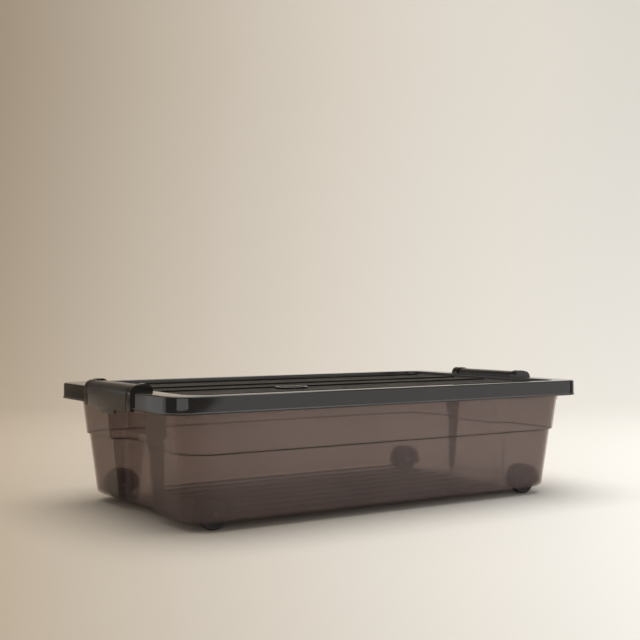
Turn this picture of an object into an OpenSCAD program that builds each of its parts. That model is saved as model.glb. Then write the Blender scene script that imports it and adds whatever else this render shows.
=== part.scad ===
// Under bed storage box on four small wheels, with a lid held by a hinged clip at each end.
// Millimetres, +Z up, long side along X, the box rests on its wheels at Z = 0.

/* [Lid] */
// Length of the lid over its skirt
lid_l = 712; // [690:2:730]
// Width of the lid over its skirt
lid_w = 400; // [380:2:420]
// Height of the lid rim above the floor
top_z = 178; // [170:1:190]
// Height of the lid skirt
skirt_h = 23; // [21:0.5:24]
// Plan radius of the lid corners
lid_r = 30; // [24:1:44]

/* [Tub] */
// Height of the tub underside above the floor
bottom_z = 12; // [10:0.5:13]
// Height of the step in the tub wall above the floor
step_z = 102; // [96:1:108]
// Wall thickness of the tub
wall = 2.4; // [2:0.1:3]
// Plan radius of the tub corners
tub_r = 42; // [36:1:48]

/* [Clips] */
// Half width of the swinging clip plate
clip_hw = 67.4; // [60:0.2:70]
// Width of each fixed hinge ear
ear_w = 13.5; // [10:0.5:16]

/* [Wheels] */
// Wheel radius
wheel_r = 21; // [19:0.5:21]
// Wheel width
wheel_w = 13; // [11:0.5:13]

/* [Hidden] */

smoke = [0.36, 0.32, 0.30];
dark_smoke = [0.18, 0.16, 0.15];
black = [0.05, 0.05, 0.05];
steel = [0.70, 0.71, 0.72];

hull_fn = 32;
lx = lid_l / 2;
// half length that the tub and the clips are set out from
end_x = lx - 4;
ly = lid_w / 2;

// lid shell
lid_t = 2.4;
bead = 1.2;
skirt_z = top_z - skirt_h;
rim_in_x = 34;
rim_in_y = 17;
rim_r = 28;
panel_z = top_z - 4.5;
panel_t = 2.2;
lid_rib_in = 38;
lid_rib_out = 140;
lid_rib_w = 4;
lid_rib_h = 2;
lid_rib_l = 590;
pad_x = -100;
pad_y = -64;
pad_l = 50;
pad_w = 30;

// tub sizes, half lengths and half widths at each level
rim_z = top_z - lid_t - 0.3;
top_x = end_x - 20;
top_y = ly - 7;
stp_x = end_x - 24.5;
stp_y = ly - 12;
low_x = end_x - 27.5;
low_y = ly - 15;
bot_x = end_x - 36;
bot_y = ly - 23;
edge_r = 8;
collar_z = 149;
collar_t = 1.4;
flange_x = end_x - 6;
flange_y = ly - 5;
flange_t = 2.4;
lip_z = 161;
notch_hw = 86;
notch_z = 162;

// hand recess in each end
rec_hw = 63;
rec_r = 9;
rec_top = 146;
rec_shelf = 113;
rec_x = end_x - 54;
shelf_x = end_x - 48;
low_rec_x = end_x - 52;
low_rec_hw = 59;

// clip hinge
pin_x = end_x - 14;
pin_z = top_z;
pin_r = 3;
pin_gap = 0.05;
pin_len = 9.6;
bore_len = 10.6;
barrel_r = 8.8;
ear_r = 11;
ear_gap = 0.6;
pocket_r = 11;
clip_x = end_x + 8;
clip_t = 3;
corner_r = 12;
plate_z = 151.5;
tongue_z = 145;
tongue_hw = 30;
catch_x = end_x - 4;
catch_hw = 58;

// wheels and axles
wheel_x = 274;
wheel_y = 150;
tread_r = 2;
hub_r = 7;
well_gap = 2.5;
well_hw = 8;
axle_r = 3;
axle_hl = 12;
boss_r = 6.5;
boss_t = 3.2;

// floor ribs inside the tub
rib_n = 8;
rib_pitch = 36;
rib_w = 8;
rib_h = 2.5;
rib_l = 470;

module rounded(hx, hy, r) {
    square([2 * hx, 2 * (hy - r)], center = true);
    square([2 * (hx - r), 2 * hy], center = true);
    for (sx = [-1, 1]) for (sy = [-1, 1])
        translate([sx * (hx - r), sy * (hy - r)]) circle(r = r);
}

module slab(hx, hy, r, z, t) {
    translate([0, 0, z]) linear_extrude(height = t) rounded(hx, hy, r);
}

module ring(hx, hy, r, t, z0, z1) {
    translate([0, 0, z0]) linear_extrude(height = z1 - z0) difference() {
        rounded(hx, hy, r);
        rounded(hx - t, hy - t, r - t);
    }
}

// the tapered body below the step and above it, shrunk by g on every side
module body_low(g, floor_t) {
    hull() {
        slab(bot_x - edge_r - g, bot_y - edge_r - g, tub_r - edge_r - g,
            bottom_z + floor_t, 0.1, $fn = hull_fn);
        slab(bot_x - 2.3 - g, bot_y - 2.3 - g, tub_r - 2.3 - g,
            bottom_z + 2.3 + floor_t, 0.1, $fn = hull_fn);
        slab(bot_x - g, bot_y - g, tub_r - g, bottom_z + edge_r + floor_t, 0.1, $fn = hull_fn);
        slab(low_x - g, low_y - g, tub_r - g, step_z - 0.1, 0.1, $fn = hull_fn);
    }
}

module body_high(g, z0) {
    hull() {
        slab(stp_x - g, stp_y - g, tub_r - g, z0, 0.1, $fn = hull_fn);
        slab(top_x - g, top_y - g, tub_r - g, collar_z, 0.1, $fn = hull_fn);
    }
}

// space of the hand recess at the right end, grown by g into the tub
module recess(g) {
    translate([0, 0, rec_shelf - g]) linear_extrude(height = rec_top - rec_shelf + 2 * g)
        recess_plan(rec_x - g, rec_hw + g, rec_r);
    translate([0, 0, step_z - g]) linear_extrude(height = rec_shelf - step_z + g)
        recess_plan(shelf_x - g, rec_hw + g, rec_r);
    translate([0, 0, -1]) linear_extrude(height = step_z + 1 + g)
        recess_plan(low_rec_x - g, low_rec_hw + g, rec_r);
}

module recess_plan(x, hw, r) {
    translate([x + r, -hw]) square([80, 2 * hw]);
    translate([x, -hw + r]) square([80, 2 * (hw - r)]);
    for (s = [-1, 1]) translate([x + r, s * (hw - r)]) circle(r = r, $fn = 48);
}

// wheel housing outside (g = wall) and the space in it (g = 0)
module well(g) {
    rotate([90, 0, 0]) cylinder(r = wheel_r + well_gap + g, h = 2 * (well_hw + g), center = true, $fn = 64);
    translate([-(wheel_r + well_gap + g), -(well_hw + g), -30])
        cube([2 * (wheel_r + well_gap + g), 2 * (well_hw + g), 30]);
}

module at_wheels() {
    for (sx = [-1, 1]) for (sy = [-1, 1])
        translate([sx * wheel_x, sy * wheel_y, wheel_r]) children();
}

module tub() color(smoke) difference() {
    union() {
        difference() {
            tub_outside();
            difference() {
                tub_inside();
                for (s = [0, 1]) mirror([s, 0, 0]) recess(wall);
                at_wheels() well(wall);
                at_wheels() rotate([90, 0, 0])
                    cylinder(r = boss_r, h = 2 * (well_hw + wall + boss_t), center = true, $fn = 48);
                floor_ribs();
            }
            for (s = [0, 1]) mirror([s, 0, 0]) recess(0);
        }
        rim_flange();
    }
    for (s = [-1, 1]) translate([s * (end_x - 20) - 30, -notch_hw, notch_z])
        cube([60, 2 * notch_hw, 40]);
    at_wheels() well(0);
    at_wheels() rotate([90, 0, 0])
        cylinder(r = axle_r, h = 2 * axle_hl, center = true, $fn = 48);
}

module tub_outside() {
    body_low(0, 0);
    body_high(0, step_z - 0.1);
    slab(top_x, top_y, tub_r, collar_z, rim_z - collar_z, $fn = hull_fn);
    slab(top_x + collar_t, top_y + collar_t, tub_r + collar_t, collar_z, 10, $fn = hull_fn);
}

module tub_inside() {
    body_low(wall, wall);
    body_high(wall, step_z - 0.2);
    slab(top_x - wall, top_y - wall, tub_r - wall, collar_z, 60, $fn = hull_fn);
}

module floor_ribs() {
    for (i = [0 : rib_n - 1])
        translate([-rib_l / 2, (i - (rib_n - 1) / 2) * rib_pitch - rib_w / 2, bottom_z])
            cube([rib_l, rib_w, wall + rib_h]);
}

// outward flange round the top of the tub, with a lip, and a lower ledge under each clip
module rim_flange() {
    translate([0, 0, rim_z - flange_t]) linear_extrude(height = flange_t) difference() {
        rounded(flange_x, flange_y, tub_r + 2);
        rounded(top_x - wall, top_y - wall, tub_r - wall);
    }
    ring(flange_x, flange_y, tub_r + 2, 2, lip_z, rim_z);
    for (s = [-1, 1]) translate([s * (top_x - 1) - (s < 0 ? flange_x - top_x + 1 : 0),
            -notch_hw - 2, notch_z - flange_t])
        cube([flange_x - top_x + 1, 2 * notch_hw + 4, flange_t]);
}

module lid() color(dark_smoke) {
    difference() {
        union() {
            slab(lx, ly, lid_r, skirt_z, skirt_h);
            slab(lx + bead, ly + bead, lid_r + bead, skirt_z, 2.2);
        }
        slab(lx - lid_t, ly - lid_t, lid_r - lid_t, skirt_z - 1, skirt_h + 1 - lid_t);
        slab(lx - rim_in_x, ly - rim_in_y, rim_r, skirt_z, 60);
        for (s = [0, 1]) mirror([s, 0, 0]) {
            translate([pin_x - pocket_r - 1, -clip_hw - ear_gap, skirt_z - 5])
                cube([60, 2 * (clip_hw + ear_gap), 60]);
            ear_bore();
        }
    }
    difference() {
        slab(lx - rim_in_x + lid_t, ly - rim_in_y + lid_t, rim_r + lid_t, panel_z - panel_t,
            top_z - panel_z + panel_t);
        slab(lx - rim_in_x, ly - rim_in_y, rim_r, panel_z, 60);
        for (s = [0, 1]) mirror([s, 0, 0])
            translate([pin_x - pocket_r, -clip_hw - ear_gap, pin_z - pocket_r])
                cube([60, 2 * (clip_hw + ear_gap), 60]);
    }
    for (y = [-lid_rib_out, -lid_rib_in, lid_rib_in, lid_rib_out])
        translate([0, y, panel_z - 0.5])
            linear_extrude(height = lid_rib_h + 0.5) bar(lid_rib_l / 2, lid_rib_w / 2);
    translate([pad_x, pad_y, panel_z - 0.5]) linear_extrude(height = lid_rib_h + 1.3) difference() {
        bar(pad_l / 2, pad_w / 2);
        bar(pad_l / 2 - 4, pad_w / 2 - 4);
    }
    for (s = [0, 1]) mirror([s, 0, 0]) {
        clip_pocket();
        for (e = [-1, 1]) ear(e);
    }
}

module bar(hl, r) {
    square([2 * (hl - r), 2 * r], center = true);
    for (s = [-1, 1]) translate([s * (hl - r), 0]) circle(r = r, $fn = 32);
}

// floor and sides of the pocket that the clip barrel turns in
module clip_pocket() {
    px = pin_x - pocket_r;
    hw = clip_hw + ear_gap;
    fz = pin_z - pocket_r - lid_t;
    translate([px - lid_t, -hw - 2, fz]) cube([end_x - px + lid_t - 2.6, 2 * hw + 4, lid_t]);
    translate([px - lid_t, -hw - 2, fz]) cube([lid_t, 2 * hw + 4, top_z - fz]);
}

// fixed hinge ear that hugs the rim, e = -1 or 1 for the two sides of the clip
module ear(e) {
    y0 = clip_hw + ear_gap;
    difference() {
        translate([0, e * (y0 + ear_w / 2) + ear_w / 2, 0]) rotate([90, 0, 0])
            linear_extrude(height = ear_w) ear_side();
        ear_bore();
    }
}

module ear_side() {
    translate([pin_x, pin_z]) circle(r = ear_r, $fn = 72);
    difference() {
        translate([clip_x - 0.4 - corner_r, pin_z + ear_r - 1.5 - corner_r]) circle(r = corner_r, $fn = 72);
        translate([pin_x - 30, pin_z - 40]) square([lx - 2.6 - pin_x + 30, 36]);
    }
    translate([pin_x, pin_z - 2]) square([clip_x - 0.4 - corner_r - pin_x, ear_r + 0.5]);
    translate([lx - lid_t, skirt_z - 3]) square([clip_x - 0.4 - lx + lid_t, pin_z + ear_r - 1.5 - corner_r - skirt_z + 3]);
}

module ear_bore() {
    for (e = [-1, 1]) translate([pin_x, e * (clip_hw + ear_gap + bore_len / 2 - 0.5), pin_z])
        rotate([90, 0, 0]) cylinder(r = pin_r + pin_gap, h = bore_len + 1, center = true, $fn = 48);
}

module clip_right() color(dark_smoke) clip();

module clip_left() color(dark_smoke) mirror([1, 0, 0]) clip();

module clip() {
    along_y(clip_hw) clip_side();
    along_y(catch_hw) catch_side();
    translate([pin_x, 0, pin_z]) rotate([90, 0, 0])
        cylinder(r = pin_r, h = 2 * (clip_hw + pin_len), center = true, $fn = 48);
    translate([clip_x - clip_t, 0, 0]) rotate([90, 0, 90]) linear_extrude(height = clip_t)
        tongue_plan();
}

module along_y(hw) {
    translate([0, hw, 0]) rotate([90, 0, 0]) linear_extrude(height = 2 * hw) children();
}

module clip_side() {
    cz = pin_z + barrel_r - corner_r;
    cx = clip_x - corner_r;
    translate([pin_x, pin_z]) circle(r = barrel_r, $fn = 72);
    translate([pin_x, pin_z + barrel_r - clip_t]) square([cx - pin_x, clip_t]);
    translate([cx, cz]) intersection() {
        difference() {
            circle(r = corner_r, $fn = 72);
            circle(r = corner_r - clip_t, $fn = 72);
        }
        square([corner_r, corner_r]);
    }
    translate([clip_x - clip_t, plate_z]) square([clip_t, cz - plate_z]);
}

// catch that reaches in below the ledge of the tub
module catch_side() {
    polygon([[clip_x - 0.5, plate_z + 6.5], [catch_x, plate_z + 5], [catch_x, plate_z + 2.5],
        [clip_x - 0.5, plate_z + 0.5]]);
}

module tongue_plan() {
    r = 7;
    translate([-tongue_hw, tongue_z + r]) square([2 * tongue_hw, plate_z - tongue_z - r + 6]);
    translate([-tongue_hw + r, tongue_z]) square([2 * (tongue_hw - r), r + 1]);
    for (s = [-1, 1]) translate([s * (tongue_hw - r), tongue_z + r]) circle(r = r, $fn = 48);
}

module wheel(sx, sy) {
    translate([sx * wheel_x, sy * wheel_y, wheel_r]) rotate([90, 0, 0]) color(black) rotate_extrude($fn = 96)
        wheel_side();
}

module wheel_side() {
    hw = wheel_w / 2;
    bore = axle_r + 0.06;
    polygon([[bore, -well_hw + 0.3], [hub_r, -well_hw + 0.3], [hub_r, -hw + 2], [wheel_r - 5, -hw + 2],
        [wheel_r - 4, -hw], [wheel_r - tread_r, -hw], [wheel_r, -hw + tread_r], [wheel_r, hw - tread_r],
        [wheel_r - tread_r, hw], [wheel_r - 4, hw], [wheel_r - 5, hw - 2], [hub_r, hw - 2],
        [hub_r, well_hw - 0.3], [bore, well_hw - 0.3]]);
}

module axle(sx, sy) {
    translate([sx * wheel_x, sy * wheel_y, wheel_r]) rotate([90, 0, 0]) color(steel)
        cylinder(r = axle_r, h = 2 * axle_hl, center = true, $fn = 48);
}

module wheel_front_left() wheel(-1, -1);
module wheel_front_right() wheel(1, -1);
module wheel_back_left() wheel(-1, 1);
module wheel_back_right() wheel(1, 1);
module axle_front_left() axle(-1, -1);
module axle_front_right() axle(1, -1);
module axle_back_left() axle(-1, 1);
module axle_back_right() axle(1, 1);

tub();
lid();
clip_left();
clip_right();
wheel_front_left();
wheel_front_right();
wheel_back_left();
wheel_back_right();
axle_front_left();
axle_front_right();
axle_back_left();
axle_back_right();
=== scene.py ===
"""Looks of an under bed box: a smoky see-through tub on four wheels, a dark lid and two end clips."""

import math

import bmesh
import bpy
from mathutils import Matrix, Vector


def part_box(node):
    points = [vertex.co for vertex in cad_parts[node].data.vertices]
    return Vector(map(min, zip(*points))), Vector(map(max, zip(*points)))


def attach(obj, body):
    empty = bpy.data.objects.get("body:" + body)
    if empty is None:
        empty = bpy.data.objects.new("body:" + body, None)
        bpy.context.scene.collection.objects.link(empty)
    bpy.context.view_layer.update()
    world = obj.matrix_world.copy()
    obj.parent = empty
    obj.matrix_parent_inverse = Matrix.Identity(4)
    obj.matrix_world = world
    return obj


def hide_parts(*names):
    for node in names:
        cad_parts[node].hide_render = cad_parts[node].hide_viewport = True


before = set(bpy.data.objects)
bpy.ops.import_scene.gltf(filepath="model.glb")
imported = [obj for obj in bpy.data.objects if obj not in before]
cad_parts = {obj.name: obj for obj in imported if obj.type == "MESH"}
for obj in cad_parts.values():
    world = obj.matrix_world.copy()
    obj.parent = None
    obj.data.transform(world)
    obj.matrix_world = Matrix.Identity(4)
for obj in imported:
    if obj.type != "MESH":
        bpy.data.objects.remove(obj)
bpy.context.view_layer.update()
MM = 0.001

# driving sizes in millimetres, read from the frame where a node shows them
tub_low, tub_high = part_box("tub")
clip_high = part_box("clip_right")[1]
wheel_low, wheel_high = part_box("wheel_front_right")
clip_x = clip_high.x / MM
end_x = clip_x - 8  # end line that the tub, lid and clips are set out from
lid_x = end_x + 4  # half length and half width over the lid skirt
lid_y = tub_high.y / MM + 5
top_z = tub_high.z / MM + 2.7
bottom_z = tub_low.z / MM
wheel_x = (wheel_low.x + wheel_high.x) / 2 / MM
wheel_y = -(wheel_low.y + wheel_high.y) / 2 / MM
wheel_r = (wheel_high.z - wheel_low.z) / 2 / MM

# tub
WALL = 2.4  # plastic thickness of the tub and the lid
TUB_R = 42  # upright corners
EDGE_R = 8  # edge between wall and floor
TUB_TOP_X = end_x - 20  # half sizes of the wall at the collar
TUB_TOP_Y = lid_y - 7
STEP_Z = 102
STEP_ROUND = 1.4  # height over which the step turns
COLLAR_Z = 149  # thin collar under the lid skirt
COLLAR_TOP = 159
LIP_Z = 161  # lower edge of the rim flange

# hand recess in each end: top, shelf, half widths above and below the step, inner corners
REC_TOP = 146
REC_SHELF = 113
REC_HW = 63
LOW_HW = 59
REC_R = 9
REC_LIP = 1.8  # round of its outer edge
REC_BACK_X = end_x - 54  # back wall above the shelf, below it, and below the step
SHELF_BACK_X = end_x - 48
LOW_BACK_X = end_x - 52

# wheel housings, floor ribs, ledges for the clips and notches in the rim
WELL_R = wheel_r + 2.5
WELL_HW = 8
BOSS_R = 6.5
BOSS_HW = 13.6
RIB_COUNT = 8
RIB_PITCH = 36
RIB_HL = 235
RIB_HW = 4
LEDGE_HW = 88
NOTCH_HW = 86
NOTCH_Z = 162

# lid
PANEL_Z = top_z - 4.5
SKIRT_Z = top_z - 23
LID_R = 30
RIM_X = 34  # width of the flat rim at the ends and along the sides
RIM_Y = 17
RIM_R = 28  # inner corners of the rim
SLOT_HW = 68  # slot for the clip, between the ears
POCKET_Z = top_z - 11  # floor of the pocket under the barrel
EAR_OUT_Y = 81.5
EAR_R = 11
LINE_YS = (-140, -38, 38, 140)
LINE_HL = 295
LINE_HW = 2
PAD_X = -100
PAD_Y = -64
PAD_HL = 25
PAD_HW = 15

# clips
PIN_X = end_x - 14
PIN_R = 3
BARREL_R = 8.8
CLIP_HW = 67.4
CLIP_BEND = 12  # outer radius where the plate turns down
CREASE = 32  # edges sharper than this, in degrees, stay crisp


# ---------- mesh helpers, all in millimetres until the mesh is made ----------

def to_mesh(name, bm):
    """Turns a millimetre bmesh into a mesh in metres, with its faces pointing outward."""
    bmesh.ops.recalc_face_normals(bm, faces=bm.faces)
    bmesh.ops.scale(bm, vec=(MM, MM, MM), verts=bm.verts)
    mesh = bpy.data.meshes.new(name)
    bm.to_mesh(mesh)
    bm.free()
    return mesh


def smooth(mesh):
    mesh.polygons.foreach_set("use_smooth", [True] * len(mesh.polygons))


def smooth_with_creases(mesh):
    smooth(mesh)
    mesh.set_sharp_from_angle(angle=math.radians(CREASE))


def new_piece(name, bm, body, material):
    """Makes a piece from a millimetre bmesh and lets it ride on a body."""
    mesh = to_mesh(name, bm)
    smooth_with_creases(mesh)
    piece = bpy.data.objects.new(name, mesh)
    bpy.context.collection.objects.link(piece)
    mesh.materials.append(material)
    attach(piece, body)
    return piece


def arc(cx, cy, r, start, end, steps):
    """Points on an arc, angles in degrees."""
    angles = [math.radians(start + (end - start) * i / steps) for i in range(steps + 1)]
    return [(cx + r * math.cos(a), cy + r * math.sin(a)) for a in angles]


def spaced(start, end, steps):
    """Evenly spaced values from start to end."""
    return [start + (end - start) * i / steps for i in range(steps + 1)]


def ring_points(hx, hy, r, end_ys, corner_steps=14, side_steps=16):
    """Rounded oblong, counter-clockwise from the right end, with the given heights along both ends."""
    cx, cy = hx - r, hy - r
    points = [(hx, y) for y in end_ys]
    points += arc(cx, cy, r, 0, 90, corner_steps)
    points += [(x, hy) for x in spaced(cx, -cx, side_steps)[1:-1]]
    points += arc(-cx, cy, r, 90, 180, corner_steps)
    points += [(-hx, y) for y in reversed(end_ys)]
    points += arc(-cx, -cy, r, 180, 270, corner_steps)
    points += [(x, -hy) for x in spaced(-cx, cx, side_steps)[1:-1]]
    points += arc(cx, -cy, r, 270, 360, corner_steps)
    return points


def loft(bm, rings):
    """Skin through rings of 3-D points with a flat cap on the first and last."""
    loops = [[bm.verts.new(p) for p in ring] for ring in rings]
    for low, high in zip(loops, loops[1:]):
        for i in range(len(low)):
            j = (i + 1) % len(low)
            bm.faces.new((low[i], low[j], high[j], high[i]))
    bm.faces.new(reversed(loops[0]))
    bm.faces.new(loops[-1])


def prism(bm, outline, place, bevel=0.0):
    """Solid from a 2-D outline: place(u, v, end) gives the 3-D point for end 0 and 1."""
    ends = [[bm.verts.new(place(u, v, e)) for u, v in outline] for e in (0, 1)]
    faces = [bm.faces.new(ends[0]), bm.faces.new(list(reversed(ends[1])))]
    rims = [e for f in faces for e in f.edges]
    for i in range(len(outline)):
        j = (i + 1) % len(outline)
        bm.faces.new((ends[0][i], ends[1][i], ends[1][j], ends[0][j]))
    if bevel:
        bmesh.ops.bevel(bm, geom=rims, offset=bevel, segments=3, profile=0.5,
                        affect="EDGES", clamp_overlap=True)


def along_y(bm, outline, y0, y1, bevel=0.0, side=1):
    """Prism of an X and Z outline between two Y values, mirrored to -X when side is -1."""
    prism(bm, outline, lambda u, v, e: (side * u, (y0, y1)[e], v), bevel)


def end_box(bm, side, x_span, half_width, z_span, bevel=0.0):
    """Box across one end: x_span is given for the right end."""
    x0, x1 = sorted(side * x for x in x_span)
    z0, z1 = z_span
    along_y(bm, [(x0, z0), (x1, z0), (x1, z1), (x0, z1)], -half_width, half_width, bevel)


def stadium(hl, hw, steps=10):
    """Long oblong with round ends, half length and half width."""
    return arc(hl - hw, 0, hw, -90, 90, steps) + arc(-(hl - hw), 0, hw, 90, 270, steps)


def boolean(piece, operation, fill, overlaps=False, material=None):
    """Adds or cuts the solid that fill(bm) draws, in another material if one is given.

    overlaps is for solids whose own parts run into each other."""
    bm = bmesh.new()
    fill(bm)
    mesh = to_mesh("helper", bm)
    mesh.materials.append(material or piece.data.materials[0])
    helper = bpy.data.objects.new("helper", mesh)
    bpy.context.collection.objects.link(helper)
    modifier = piece.modifiers.new("cut", "BOOLEAN")
    modifier.operation = operation
    modifier.solver = "EXACT"
    modifier.use_self = overlaps
    modifier.material_mode = "TRANSFER"
    modifier.object = helper
    graph = bpy.context.evaluated_depsgraph_get()
    solved = bpy.data.meshes.new_from_object(piece.evaluated_get(graph))
    piece.modifiers.clear()
    piece.data = solved
    bpy.data.objects.remove(helper)
    smooth_with_creases(solved)


# ---------- materials ----------

class Nodes:
    """Short way to build a Principled material from nodes."""

    def __init__(self, name, **sockets):
        self.material = bpy.data.materials.new(name)
        self.material.use_nodes = True
        self.tree = self.material.node_tree
        self.shader = self.tree.nodes["Principled BSDF"]
        for key, value in sockets.items():
            self.shader.inputs[key.replace("_", " ")].default_value = value
        self.where = self.tree.nodes.new("ShaderNodeTexCoord").outputs["Object"]

    def link(self, a, b):
        self.tree.links.new(a, b)

    def drive(self, socket, value):
        """Links a value to one of the shader's own sockets."""
        self.link(value, self.shader.inputs[socket])

    def noise(self, scale, detail=4.0, stretch=(1, 1, 1)):
        mapping = self.tree.nodes.new("ShaderNodeMapping")
        mapping.inputs["Scale"].default_value = stretch
        self.link(self.where, mapping.inputs["Vector"])
        texture = self.tree.nodes.new("ShaderNodeTexNoise")
        texture.inputs["Scale"].default_value = scale
        texture.inputs["Detail"].default_value = detail
        self.link(mapping.outputs["Vector"], texture.inputs["Vector"])
        return texture.outputs["Fac"]

    def ramp(self, value, low, high, start=0.3, end=0.7):
        node = self.tree.nodes.new("ShaderNodeValToRGB")
        node.color_ramp.elements[0].position = start
        node.color_ramp.elements[0].color = low
        node.color_ramp.elements[1].position = end
        node.color_ramp.elements[1].color = high
        self.link(value, node.inputs["Fac"])
        return node.outputs["Color"]

    def span(self, value, low, high):
        node = self.tree.nodes.new("ShaderNodeMapRange")
        node.inputs["From Min"].default_value = 0.3
        node.inputs["From Max"].default_value = 0.7
        node.inputs["To Min"].default_value = low
        node.inputs["To Max"].default_value = high
        self.link(value, node.inputs["Value"])
        return node.outputs["Result"]

    def bump(self, height, strength, distance, normal=None):
        node = self.tree.nodes.new("ShaderNodeBump")
        node.inputs["Strength"].default_value = strength
        node.inputs["Distance"].default_value = distance
        self.link(height, node.inputs["Height"])
        if normal:
            self.link(normal, node.inputs["Normal"])
        return node.outputs["Normal"]


def rgb(r, g, b):
    return (r, g, b, 1.0)


def smoke_plastic(name, low, high, least, most):
    """See-through smoke brown plastic, thin enough not to bend light: clouding, flow marks and scratches.

    Each face hides between least and most of what is behind it and tints the rest."""
    m = Nodes(name, IOR=1.49)
    clouds = m.noise(9, 3)
    m.drive("Base Color", m.ramp(clouds, low, high))
    flow = m.noise(5, 4, stretch=(1, 1, 3))
    clear = m.tree.nodes.new("ShaderNodeBsdfTransparent")
    clear.inputs["Color"].default_value = rgb(0.965, 0.90, 0.88)
    mix = m.tree.nodes.new("ShaderNodeMixShader")
    m.link(m.span(flow, least, most), mix.inputs[0])
    m.link(clear.outputs["BSDF"], mix.inputs[1])
    m.link(m.shader.outputs["BSDF"], mix.inputs[2])
    m.link(mix.outputs["Shader"], m.tree.nodes["Material Output"].inputs["Surface"])
    scratches = m.noise(60, 6, stretch=(1, 1, 14))
    m.drive("Roughness", m.span(scratches, 0.06, 0.14))
    ripple = m.bump(m.noise(14, 2), 0.06, 0.001)
    m.drive("Normal", m.bump(scratches, 0.03, 0.0002, ripple))
    return m.material


def dark_plastic(name, low, high, rough, specular=0.5):
    """Dark opaque plastic with soft mottling and a fine moulded grain."""
    m = Nodes(name, Specular_IOR_Level=specular)
    m.drive("Base Color", m.ramp(m.noise(7, 5), low, high))
    m.drive("Roughness", m.span(m.noise(38, 6), *rough))
    waves = m.bump(m.noise(11, 2), 0.10, 0.0015)
    m.drive("Normal", m.bump(m.noise(900, 3), 0.10, 0.0002, waves))
    return m.material


def brushed_steel():
    """Steel with its grain along Y, the way the pins lie."""
    m = Nodes("axle_steel", Metallic=1.0)
    m.drive("Base Color", m.ramp(m.noise(50, 4), rgb(0.42, 0.42, 0.43), rgb(0.60, 0.60, 0.61)))
    grain = m.noise(400, 4, stretch=(1, 0.05, 1))
    m.drive("Roughness", m.span(grain, 0.28, 0.45))
    m.drive("Normal", m.bump(grain, 0.2, 0.0002))
    return m.material


SMOKE = smoke_plastic("smoke_plastic",
                      rgb(0.110, 0.081, 0.078), rgb(0.145, 0.108, 0.103), 0.425, 0.465)
# darker smoke used as painted shade: the dark lines at the step, the recess corners and the floor ribs
FOLD_SHADE_SMOKE = smoke_plastic("smoke_plastic_painted_shade",
                            rgb(0.026, 0.018, 0.016), rgb(0.036, 0.026, 0.023), 0.70, 0.76)
LID = dark_plastic("lid_plastic",
                   rgb(0.012, 0.010, 0.009), rgb(0.019, 0.016, 0.014), (0.05, 0.10), 0.45)
PANEL = dark_plastic("lid_panel",
                     rgb(0.010, 0.0085, 0.0065), rgb(0.019, 0.016, 0.0125), (0.50, 0.65), 0.08)
# lighter plastic painted on the upper side of the skirt bead as a highlight
BEAD_HIGHLIGHT = dark_plastic("lid_bead_painted_highlight",
                    rgb(0.050, 0.046, 0.043), rgb(0.085, 0.079, 0.074), (0.12, 0.22), 0.6)
CLIP = dark_plastic("clip_plastic",
                    rgb(0.018, 0.015, 0.014), rgb(0.030, 0.026, 0.023), (0.16, 0.26), 0.35)
RUBBER = dark_plastic("wheel_plastic",
                      rgb(0.020, 0.020, 0.021), rgb(0.032, 0.031, 0.032), (0.42, 0.62))
STEEL = brushed_steel()


# ---------- tub ----------

def wall_at(z, g):
    """Half length and half width of the tapered tub wall at height z, shrunk by g."""
    low = (end_x - 36, lid_y - 23, bottom_z + EDGE_R)
    mid = (end_x - 27.5, lid_y - 15, STEP_Z)
    above = (end_x - 24.5, lid_y - 12, STEP_Z)
    top = (TUB_TOP_X, TUB_TOP_Y, COLLAR_Z)

    def between(a, b):
        t = min(1.0, max(0.0, (z - a[2]) / (b[2] - a[2])))
        return a[0] + (b[0] - a[0]) * t, a[1] + (b[1] - a[1]) * t

    under, over = between(low, mid), between(above, top)
    t = min(1.0, max(0.0, (z - STEP_Z) / STEP_ROUND + 0.5))
    t = t * t * (3 - 2 * t)
    return under[0] + (over[0] - under[0]) * t - g, under[1] + (over[1] - under[1]) * t - g


def recess_x(x_wall, y, z, g):
    """Where the end wall stands at (y, z) once the hand recess is pressed in."""
    half = (LOW_HW if z < STEP_Z + g else REC_HW) + g
    outside = max(abs(y) - half, z - REC_TOP - g)
    if outside >= REC_LIP or (g and outside >= 0):
        return x_wall
    if outside >= 0:
        return x_wall - REC_LIP + math.sqrt(REC_LIP ** 2 - (REC_LIP - outside) ** 2)
    back = REC_BACK_X if z > REC_SHELF - g else SHELF_BACK_X
    if z < STEP_Z + g:
        back = LOW_BACK_X
    bend = max(0.0, abs(y) - (half - REC_R))
    return min(x_wall, back - g + REC_R - math.sqrt(REC_R ** 2 - bend ** 2))


def end_samples():
    """Places along the end walls, close together where the recess turns."""
    found = set(spaced(0, 48, 6)) | set(spaced(72, 120, 5))
    for half in (LOW_HW, LOW_HW + WALL, REC_HW, REC_HW + WALL):
        found |= {half + d for d in (-9, -7, -5, -3, -1.5, -0.5, -0.02, 0.02, 0.4, 0.9, 1.8)}
    ordered = sorted(round(v, 2) for v in found)
    return [-v for v in reversed(ordered) if v > 0] + ordered


def tub_ring(hx, hy, r, z, g, end_ys):
    """One ring of the tub at height z, with the hand recesses pressed into its ends."""
    points = []
    for x, y in ring_points(hx, hy, r, end_ys):
        if abs(x) > hx - 1e-6 and z < REC_TOP + g + 2:
            x = math.copysign(recess_x(abs(x), y, z, g), x)
        points.append((x, y, z))
    return points


def levels(z0, z1, g):
    """Heights of the rings, close together at the step, the shelf and the top of the recess."""
    found = set(spaced(z0, z1, 12))
    for z in (STEP_Z, STEP_Z + g, REC_SHELF - g, REC_TOP + g):
        found |= {z + d for d in (-1.2, -0.7, -0.45, -0.25, -0.05, 0.05, 0.25, 0.45, 0.7, 1.2, 2)}
    return sorted(z for z in found if z0 <= z <= z1)


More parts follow.
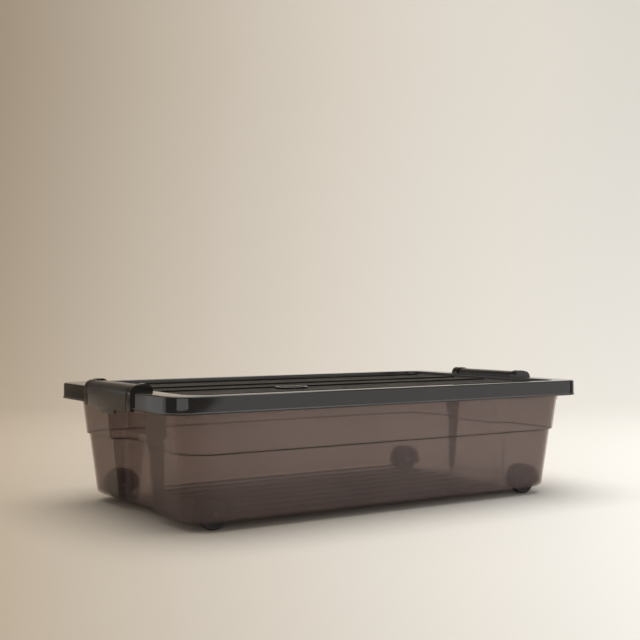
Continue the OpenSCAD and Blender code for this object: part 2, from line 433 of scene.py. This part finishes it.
def floor_edge_rings(g, end_ys):
    """Rings of the rounded edge between floor and wall, from the floor up, for a skin shrunk by g."""
    rings = []
    for i in range(7):
        a = math.radians(90 * i / 6)
        off = g + EDGE_R * (1 - math.sin(a))
        hx, hy = wall_at(bottom_z + EDGE_R, off)
        z = bottom_z + g + EDGE_R * (1 - math.cos(a))
        rings.append(tub_ring(hx, hy, TUB_R - off, z, g, end_ys))
    return rings


def tub_rings():
    """The whole skin of the tub: up the outside, over the rim flange and down the inside."""
    end_ys = end_samples()
    rings = floor_edge_rings(0, end_ys)
    for z in levels(bottom_z + EDGE_R + 1, COLLAR_Z - 0.3, 0):
        rings.append(tub_ring(*wall_at(z, 0), TUB_R, z, 0, end_ys))
    rim_z = tub_high.z / MM
    end, side = 14, 2  # how far the flange stands out at the ends and along the sides
    outside = [(1.0, 1.0, COLLAR_Z - 0.2), (1.4, 1.4, COLLAR_Z + 0.3), (1.4, 1.4, COLLAR_TOP - 0.4),
               (1.0, 1.0, COLLAR_TOP), (0, 0, COLLAR_TOP + 0.3), (0, 0, rim_z - WALL),
               (end - 2, 0.3, rim_z - WALL), (end - 2, 0.3, LIP_Z + 0.4), (end - 1.6, 0.6, LIP_Z),
               (end - 0.4, side - 0.4, LIP_Z), (end, side, LIP_Z + 0.4), (end, side, rim_z - 1.2),
               (end - 0.4, side - 0.3, rim_z - 0.3), (end - 1.2, side - 1, rim_z),
               (0.8 - WALL, 0.8 - WALL, rim_z), (-WALL, -WALL, rim_z - 0.8)]
    for out_x, out_y, z in outside:
        rings.append(tub_ring(TUB_TOP_X + out_x, TUB_TOP_Y + out_y, TUB_R + out_y, z, 0, end_ys))
    for z in reversed(levels(bottom_z + WALL + EDGE_R + 1, COLLAR_Z + 8, WALL)):
        rings.append(tub_ring(*wall_at(z, WALL), TUB_R - WALL, z, WALL, end_ys))
    rings += reversed(floor_edge_rings(WALL, end_ys))
    return rings


def arch(r, foot):
    """Side outline of a wheel housing: a half round with straight legs down to foot."""
    return [(r, foot)] + arc(0, wheel_r, r, 0, 180, 28) + [(-r, foot)]


def wheel_places():
    return [(sx * wheel_x, sy * wheel_y) for sx in (-1, 1) for sy in (-1, 1)]


def add_housings(bm):
    for x, y in wheel_places():
        outline = [(x + u, v) for u, v in arch(WELL_R + WALL, bottom_z + 0.6)]
        along_y(bm, outline, y - WELL_HW - WALL, y + WELL_HW + WALL, 1.6)


def add_bosses(bm):
    """Round seats for the axle pins, through each housing."""
    for x, y in wheel_places():
        along_y(bm, arc(x, wheel_r, BOSS_R, 0, 345, 23), y - BOSS_HW, y + BOSS_HW, 0.6)


def cut_wells(bm):
    for x, y in wheel_places():
        outline = [(x + u, v) for u, v in arch(WELL_R, bottom_z - 20)]
        along_y(bm, outline, y - WELL_HW, y + WELL_HW)


def add_floor_ribs_and_ledges(bm):
    rib_low, rib_high = bottom_z + 1, bottom_z + WALL + 2.5
    section = [(-RIB_HL, rib_low), (RIB_HL, rib_low), (RIB_HL, rib_high), (-RIB_HL, rib_high)]
    for i in range(RIB_COUNT):
        y = (i - (RIB_COUNT - 1) / 2) * RIB_PITCH
        along_y(bm, section, y - RIB_HW, y + RIB_HW, 0.9)
    for side in (-1, 1):
        end_box(bm, side, (end_x - 21.5, end_x - 6), LEDGE_HW, (159.6, NOTCH_Z), 0.4)


def cut_notches(bm):
    """Opens the rim flange at each end for the clip and its ears."""
    for side in (-1, 1):
        end_box(bm, side, (end_x - 50, end_x + 10), NOTCH_HW, (NOTCH_Z, NOTCH_Z + 40))


def shade_folds(mesh):
    """Paints shade on the step and on the corners of the hand recesses: they get the darker smoke as a
    painted dark line.
    """
    mesh.materials.append(FOLD_SHADE_SMOKE)
    for face in mesh.polygons:
        x, y, z = face.center / MM
        in_end = abs(x) > end_x - 60 and bottom_z + EDGE_R < z < REC_TOP
        from_side = min((abs(y) - LOW_HW, abs(y) - REC_HW), key=abs)
        if abs(z - STEP_Z) < 1.3 or (in_end and 0.1 < from_side < 1.0):
            face.material_index = 1


def make_tub():
    """Tub as one skin, with notches cut, ribs, ledges, housings and bosses added, then the wells cut."""
    bm = bmesh.new()
    loft(bm, tub_rings())
    piece = new_piece("tub_shell", bm, "tub", SMOKE)
    shade_folds(piece.data)
    boolean(piece, "DIFFERENCE", cut_notches)
    # the ribs and ledges take the darker smoke as painted shade, so the ribs read as dark lines
    boolean(piece, "UNION", add_floor_ribs_and_ledges, material=FOLD_SHADE_SMOKE)
    boolean(piece, "UNION", add_housings)
    boolean(piece, "UNION", add_bosses)
    boolean(piece, "DIFFERENCE", cut_wells)
    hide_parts("tub")


# ---------- lid ----------

def lid_rings():
    """Closed profile from the underside of the panel, out round the skirt and back over the rim."""
    def at(inset_x, inset_y, r, z):
        points = ring_points(lid_x - inset_x, lid_y - inset_y, r, spaced(-120, 120, 24))
        return [(x, y, z) for x, y in points]

    rings = [at(RIM_X - WALL, RIM_Y - WALL, RIM_R + WALL, PANEL_Z - 2.2),
             at(RIM_X - WALL, RIM_Y - WALL, RIM_R + WALL, top_z - WALL),
             at(WALL, WALL, LID_R - WALL, top_z - WALL),
             at(WALL, WALL, LID_R - WALL, SKIRT_Z + 0.3),
             at(WALL - 0.3, WALL - 0.3, LID_R - WALL + 0.3, SKIRT_Z)]
    for out, z in ((0.6, 0), (1.1, 0.35), (1.2, 0.8), (1.2, 1.5), (0.9, 2.0), (0.3, 2.3), (0, 2.9)):
        rings.append(at(-out, -out, LID_R + out, SKIRT_Z + z))
    fillet = 2.6
    for u, v in arc(fillet, top_z - fillet, fillet, 180, 90, 7):
        rings.append(at(u, u, LID_R - u, v))
    lip = 1.6
    for u, v in arc(lip, top_z - lip, lip, 90, 0, 5):
        back = 2 * lip - u
        rings.append(at(RIM_X - back, RIM_Y - back, RIM_R + back, v))
    foot = 1.4
    for u, v in arc(foot, PANEL_Z + foot, foot, 180, 270, 5):
        rings.append(at(RIM_X + u, RIM_Y + u, RIM_R - u, v))
    return rings


def ear_outline():
    """Side of a hinge ear: round at the pin, flat on top, down to just under the skirt."""
    corner = clip_x - 0.4
    flat_top = EAR_R - 1.5
    join = math.degrees(math.asin(flat_top / EAR_R))
    points = [(lid_x - WALL, SKIRT_Z - 3), (corner, SKIRT_Z - 3)]
    points += arc(corner - CLIP_BEND, top_z + flat_top - CLIP_BEND, CLIP_BEND, 0, 90, 10)
    points += arc(PIN_X, top_z, EAR_R, join, 320, 30)
    points += [(lid_x - WALL, top_z - 7.2)]
    return points


def add_lid_fittings(bm):
    """Two ears and the pocket under the barrel, at each end."""
    back = PIN_X - 11
    for side in (-1, 1):
        for end in (-1, 1):
            y0, y1 = sorted((end * SLOT_HW, end * EAR_OUT_Y))
            along_y(bm, ear_outline(), y0, y1, 1.1, side)
        end_box(bm, side, (back - WALL, end_x - 2.6), SLOT_HW + 2, (POCKET_Z - WALL, POCKET_Z))
        end_box(bm, side, (back - WALL, back), SLOT_HW + 2, (POCKET_Z - WALL, top_z - 0.4))


def cut_clip_slots(bm):
    for side in (-1, 1):
        end_box(bm, side, (PIN_X - 12, PIN_X + 48), SLOT_HW, (SKIRT_Z - 5, top_z + 37))


def pad_ring(inset, z):
    """One outline of the raised ring pad at height z, drawn in by inset."""
    return [(PAD_X + u, PAD_Y + v, z) for u, v in stadium(PAD_HL - inset, PAD_HW - inset)]


def panel_detail():
    """The four long lines and the plain raised oblong on the lid panel."""
    bm = bmesh.new()
    for y in LINE_YS:
        outline = [(u, y + v) for u, v in stadium(LINE_HL, LINE_HW)]
        prism(bm, outline, lambda u, v, e: (u, v, (PANEL_Z - 0.5, PANEL_Z + 2)[e]), 0.5)
    new_piece("panel_lines", bm, "lid", PANEL)
    bm = bmesh.new()
    crown = PANEL_Z + 2.8
    loft(bm, [pad_ring(0, PANEL_Z - 0.3), pad_ring(0, crown - 0.5), pad_ring(0.5, crown),
              pad_ring(3.5, crown), pad_ring(4, crown - 0.5), pad_ring(4, PANEL_Z + 0.1)])
    new_piece("panel_pad", bm, "lid", LID)


def paint_lid(mesh):
    """Gives the sunk panel its matt face and paints a highlight on the upper side of the skirt bead in a
    lighter plastic.
    """
    mesh.materials.append(PANEL)
    mesh.materials.append(BEAD_HIGHLIGHT)
    for face in mesh.polygons:
        x, y, z = face.center / MM
        # upward faces of the skirt bead get the painted highlight
        if face.normal.z > 0.2 and SKIRT_Z + 1.4 < z < SKIRT_Z + 3:
            face.material_index = 2
        in_panel = abs(x) < lid_x - RIM_X and abs(y) < lid_y - RIM_Y
        if in_panel and face.normal.z > 0.5 and z > PANEL_Z - 1:
            face.material_index = 1


def make_lid():
    """Lid as one skin, with the clip slots cut and the ears and pockets added."""
    bm = bmesh.new()
    loft(bm, lid_rings())
    piece = new_piece("lid_shell", bm, "lid", LID)
    boolean(piece, "DIFFERENCE", cut_clip_slots)
    boolean(piece, "UNION", add_lid_fittings, overlaps=True)
    paint_lid(piece.data)
    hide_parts("lid")
    panel_detail()


# ---------- clips, wheels and axles ----------

def clip_outline():
    """Side of a clip: barrel round the pin, plate out over the rim and down in front of the skirt."""
    plate = 3
    corner = clip_x - CLIP_BEND
    corner_z = top_z + BARREL_R - CLIP_BEND
    meet = 360 + math.degrees(math.asin((BARREL_R - plate) / BARREL_R))
    points = arc(clip_x - 1, SKIRT_Z - 2.5, 1, -90, 0, 3)
    points += arc(corner, corner_z, CLIP_BEND, 0, 90, 12)
    points += arc(PIN_X, top_z, BARREL_R, 90, meet, 36)
    points += arc(corner, corner_z, CLIP_BEND - plate, 90, 0, 10)
    points += arc(clip_x - plate + 1, SKIRT_Z - 2.5, 1, 180, 270, 3)
    return points


def make_clip(name, side):
    """The swinging clip: plate and barrel, catch behind the plate, pin ends and finger tab."""
    catch_hw, pin_hw = 58, 77
    bm = bmesh.new()
    along_y(bm, clip_outline(), -CLIP_HW, CLIP_HW, 0.9, side)
    catch = [(clip_x - 0.5, 158), (end_x - 4, 156.5), (end_x - 4, 154), (clip_x - 0.5, 152)]
    along_y(bm, catch, -catch_hw, catch_hw, 0.3, side)
    along_y(bm, arc(PIN_X, top_z, PIN_R, 0, 345, 23), -pin_hw, pin_hw, 0.4, side)
    tab = [(-30, 156)] + arc(-23, 152, 7, 180, 270, 8) + arc(23, 152, 7, 270, 360, 8) + [(30, 156)]
    prism(bm, tab, lambda u, v, e: (side * (clip_x - 2.9, clip_x - 0.1)[e], u, v), 0.8)
    piece = new_piece(name + "_shell", bm, name, CLIP)
    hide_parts(name)


def lathe(bm, profile, cx, cy, cz, steps=72):
    """Turns (radius, along) points about a line along Y."""
    loops = []
    for i in range(steps):
        c, s = math.cos(2 * math.pi * i / steps), math.sin(2 * math.pi * i / steps)
        loops.append([bm.verts.new((cx + r * c, cy + t, cz + r * s)) for r, t in profile])
    for i in range(steps):
        here, there = loops[i], loops[(i + 1) % steps]
        for j in range(len(profile)):
            k = (j + 1) % len(profile)
            bm.faces.new((here[j], there[j], there[k], here[k]))


def make_wheel(name, x, y):
    """A wheel with a hub that stands proud, a dished disc and a rounded tread."""
    bm = bmesh.new()
    half = 6.5
    tread_r = 2
    profile = [(3.06, -7.7), (6.6, -7.7), (7, -7.3), (7.4, -half + 2.4), (8.2, -half + 2),
               (15.4, -half + 2), (16.2, -half + 1.6), (17, -half + 0.3), (17.8, -half)]
    profile += arc(wheel_r - tread_r, -half + tread_r, tread_r, -90, 0, 5)
    profile += [(r, -t) for r, t in reversed(profile)]
    lathe(bm, profile, x, y, wheel_r)
    piece = new_piece(name + "_tyre", bm, name, RUBBER)
    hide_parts(name)


def dress_axles():
    """The pins keep their own mesh and only get the steel."""
    for node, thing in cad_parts.items():
        if node.startswith("axle_"):
            for slot in thing.material_slots:
                slot.material = STEEL


# ---------- stage, lights and camera ----------

CAMERA_AT = Vector((-0.9315, -1.403, 0.2728))
CAMERA_YAW = math.radians(33.35)


def stage_material():
    """Seamless paper with painted shade: warmer and darker to the left, in a painted falloff that widens
    toward the backdrop.
    """
    m = Nodes("paper", Roughness=0.95, Specular_IOR_Level=0.1)
    split = m.tree.nodes.new("ShaderNodeSeparateXYZ")
    m.link(m.where, split.inputs["Vector"])
    width = m.tree.nodes.new("ShaderNodeMapRange")
    for key, value in (("From Min", -1.0), ("From Max", 3.0), ("To Min", 0.22), ("To Max", 1.40)):
        width.inputs[key].default_value = value
    m.link(split.outputs["Y"], width.inputs["Value"])
    share = m.tree.nodes.new("ShaderNodeMath")
    share.operation = "DIVIDE"
    m.link(split.outputs["X"], share.inputs[0])
    m.link(width.outputs["Result"], share.inputs[1])
    across = m.tree.nodes.new("ShaderNodeMapRange")
    across.inputs["From Min"].default_value = -1.0
    m.link(share.outputs["Value"], across.inputs["Value"])
    # left is the painted shade and right the painted light of the falloff across the paper
    left, right = rgb(0.51, 0.425, 0.325), rgb(0.93, 0.905, 0.85)
    m.drive("Base Color", m.ramp(across.outputs["Result"], left, right, 0.0, 1.0))
    m.drive("Normal", m.bump(m.noise(300, 3), 0.05, 0.0005))
    return m.material


def make_stage():
    """Floor that curves up into a backdrop, square to the camera, in metres."""
    bm = bmesh.new()
    reach = 6.0
    bend_at, bend, height = 1.6, 1.4, 5.0
    profile = [(-reach, 0.0), (-2.0, 0.0), (0.0, 0.0), (bend_at, 0.0)]
    profile += [(bend_at + u, v) for u, v in arc(0, bend, bend, -90, 0, 16)[1:]]
    profile += [(bend_at + bend, height)]
    columns = spaced(-reach, reach, 24)
    grid = [[bm.verts.new((x, y, z)) for y, z in profile] for x in columns]
    for left, right in zip(grid, grid[1:]):
        for j in range(len(profile) - 1):
            bm.faces.new((left[j], right[j], right[j + 1], left[j + 1]))
    mesh = bpy.data.meshes.new("stage")
    bm.to_mesh(mesh)
    bm.free()
    smooth(mesh)
    stage = bpy.data.objects.new("stage", mesh)
    stage.rotation_euler = (0, 0, -CAMERA_YAW)
    bpy.context.collection.objects.link(stage)
    mesh.materials.append(stage_material())


def area_light(name, azimuth, distance, height, size, power, aim=(0, 0, 0.1)):
    """Soft box at a bearing from +Y toward +X, in degrees, facing aim, in metres and watts."""
    data = bpy.data.lights.new(name, "AREA")
    data.shape = "RECTANGLE"
    data.size, data.size_y = size
    data.energy = power
    lamp = bpy.data.objects.new(name, data)
    a = math.radians(azimuth)
    lamp.location = (distance * math.sin(a), distance * math.cos(a), height)
    lamp.rotation_euler = (Vector(aim) - lamp.location).to_track_quat("-Z", "Y").to_euler()
    lamp.visible_camera = False
    bpy.context.collection.objects.link(lamp)


def make_lights():
    area_light("overhead", 0, 0.05, 2.6, (3.0, 3.0), 67)
    area_light("front_low", -147, 2.6, 0.5, (2.4, 0.8), 9, aim=(0, -0.2, 0))
    area_light("right_front", 140, 2.4, 0.9, (1.9, 1.8), 11)
    area_light("left", -50, 2.3, 0.8, (1.6, 1.5), 5)
    area_light("backdrop", 33, 0.9, 2.8, (3.0, 0.8), 22, aim=(1.6, 2.5, 1.1))
    world = bpy.data.worlds.new("world")
    bpy.context.scene.world = world
    world.use_nodes = True
    world.node_tree.nodes["Background"].inputs["Color"].default_value = (1.0, 0.97, 0.93, 1)
    world.node_tree.nodes["Background"].inputs["Strength"].default_value = 0.2


def make_camera():
    data = bpy.data.cameras.new("camera")
    data.sensor_width = 36
    data.lens = 60.9
    data.clip_end = 50
    camera = bpy.data.objects.new("camera", data)
    camera.location = CAMERA_AT
    camera.rotation_euler = (math.radians(90), 0, -CAMERA_YAW)
    bpy.context.collection.objects.link(camera)
    bpy.context.scene.camera = camera


make_tub()
make_lid()
for name, side in (("clip_left", -1), ("clip_right", 1)):
    make_clip(name, side)
for row, sy in (("front", -1), ("back", 1)):
    for column, sx in (("left", -1), ("right", 1)):
        make_wheel(f"wheel_{row}_{column}", sx * wheel_x, sy * wheel_y)
dress_axles()
make_stage()
make_lights()
make_camera()
bpy.context.scene.view_settings.view_transform = "Standard"
bpy.context.scene.cycles.transparent_max_bounces = 40
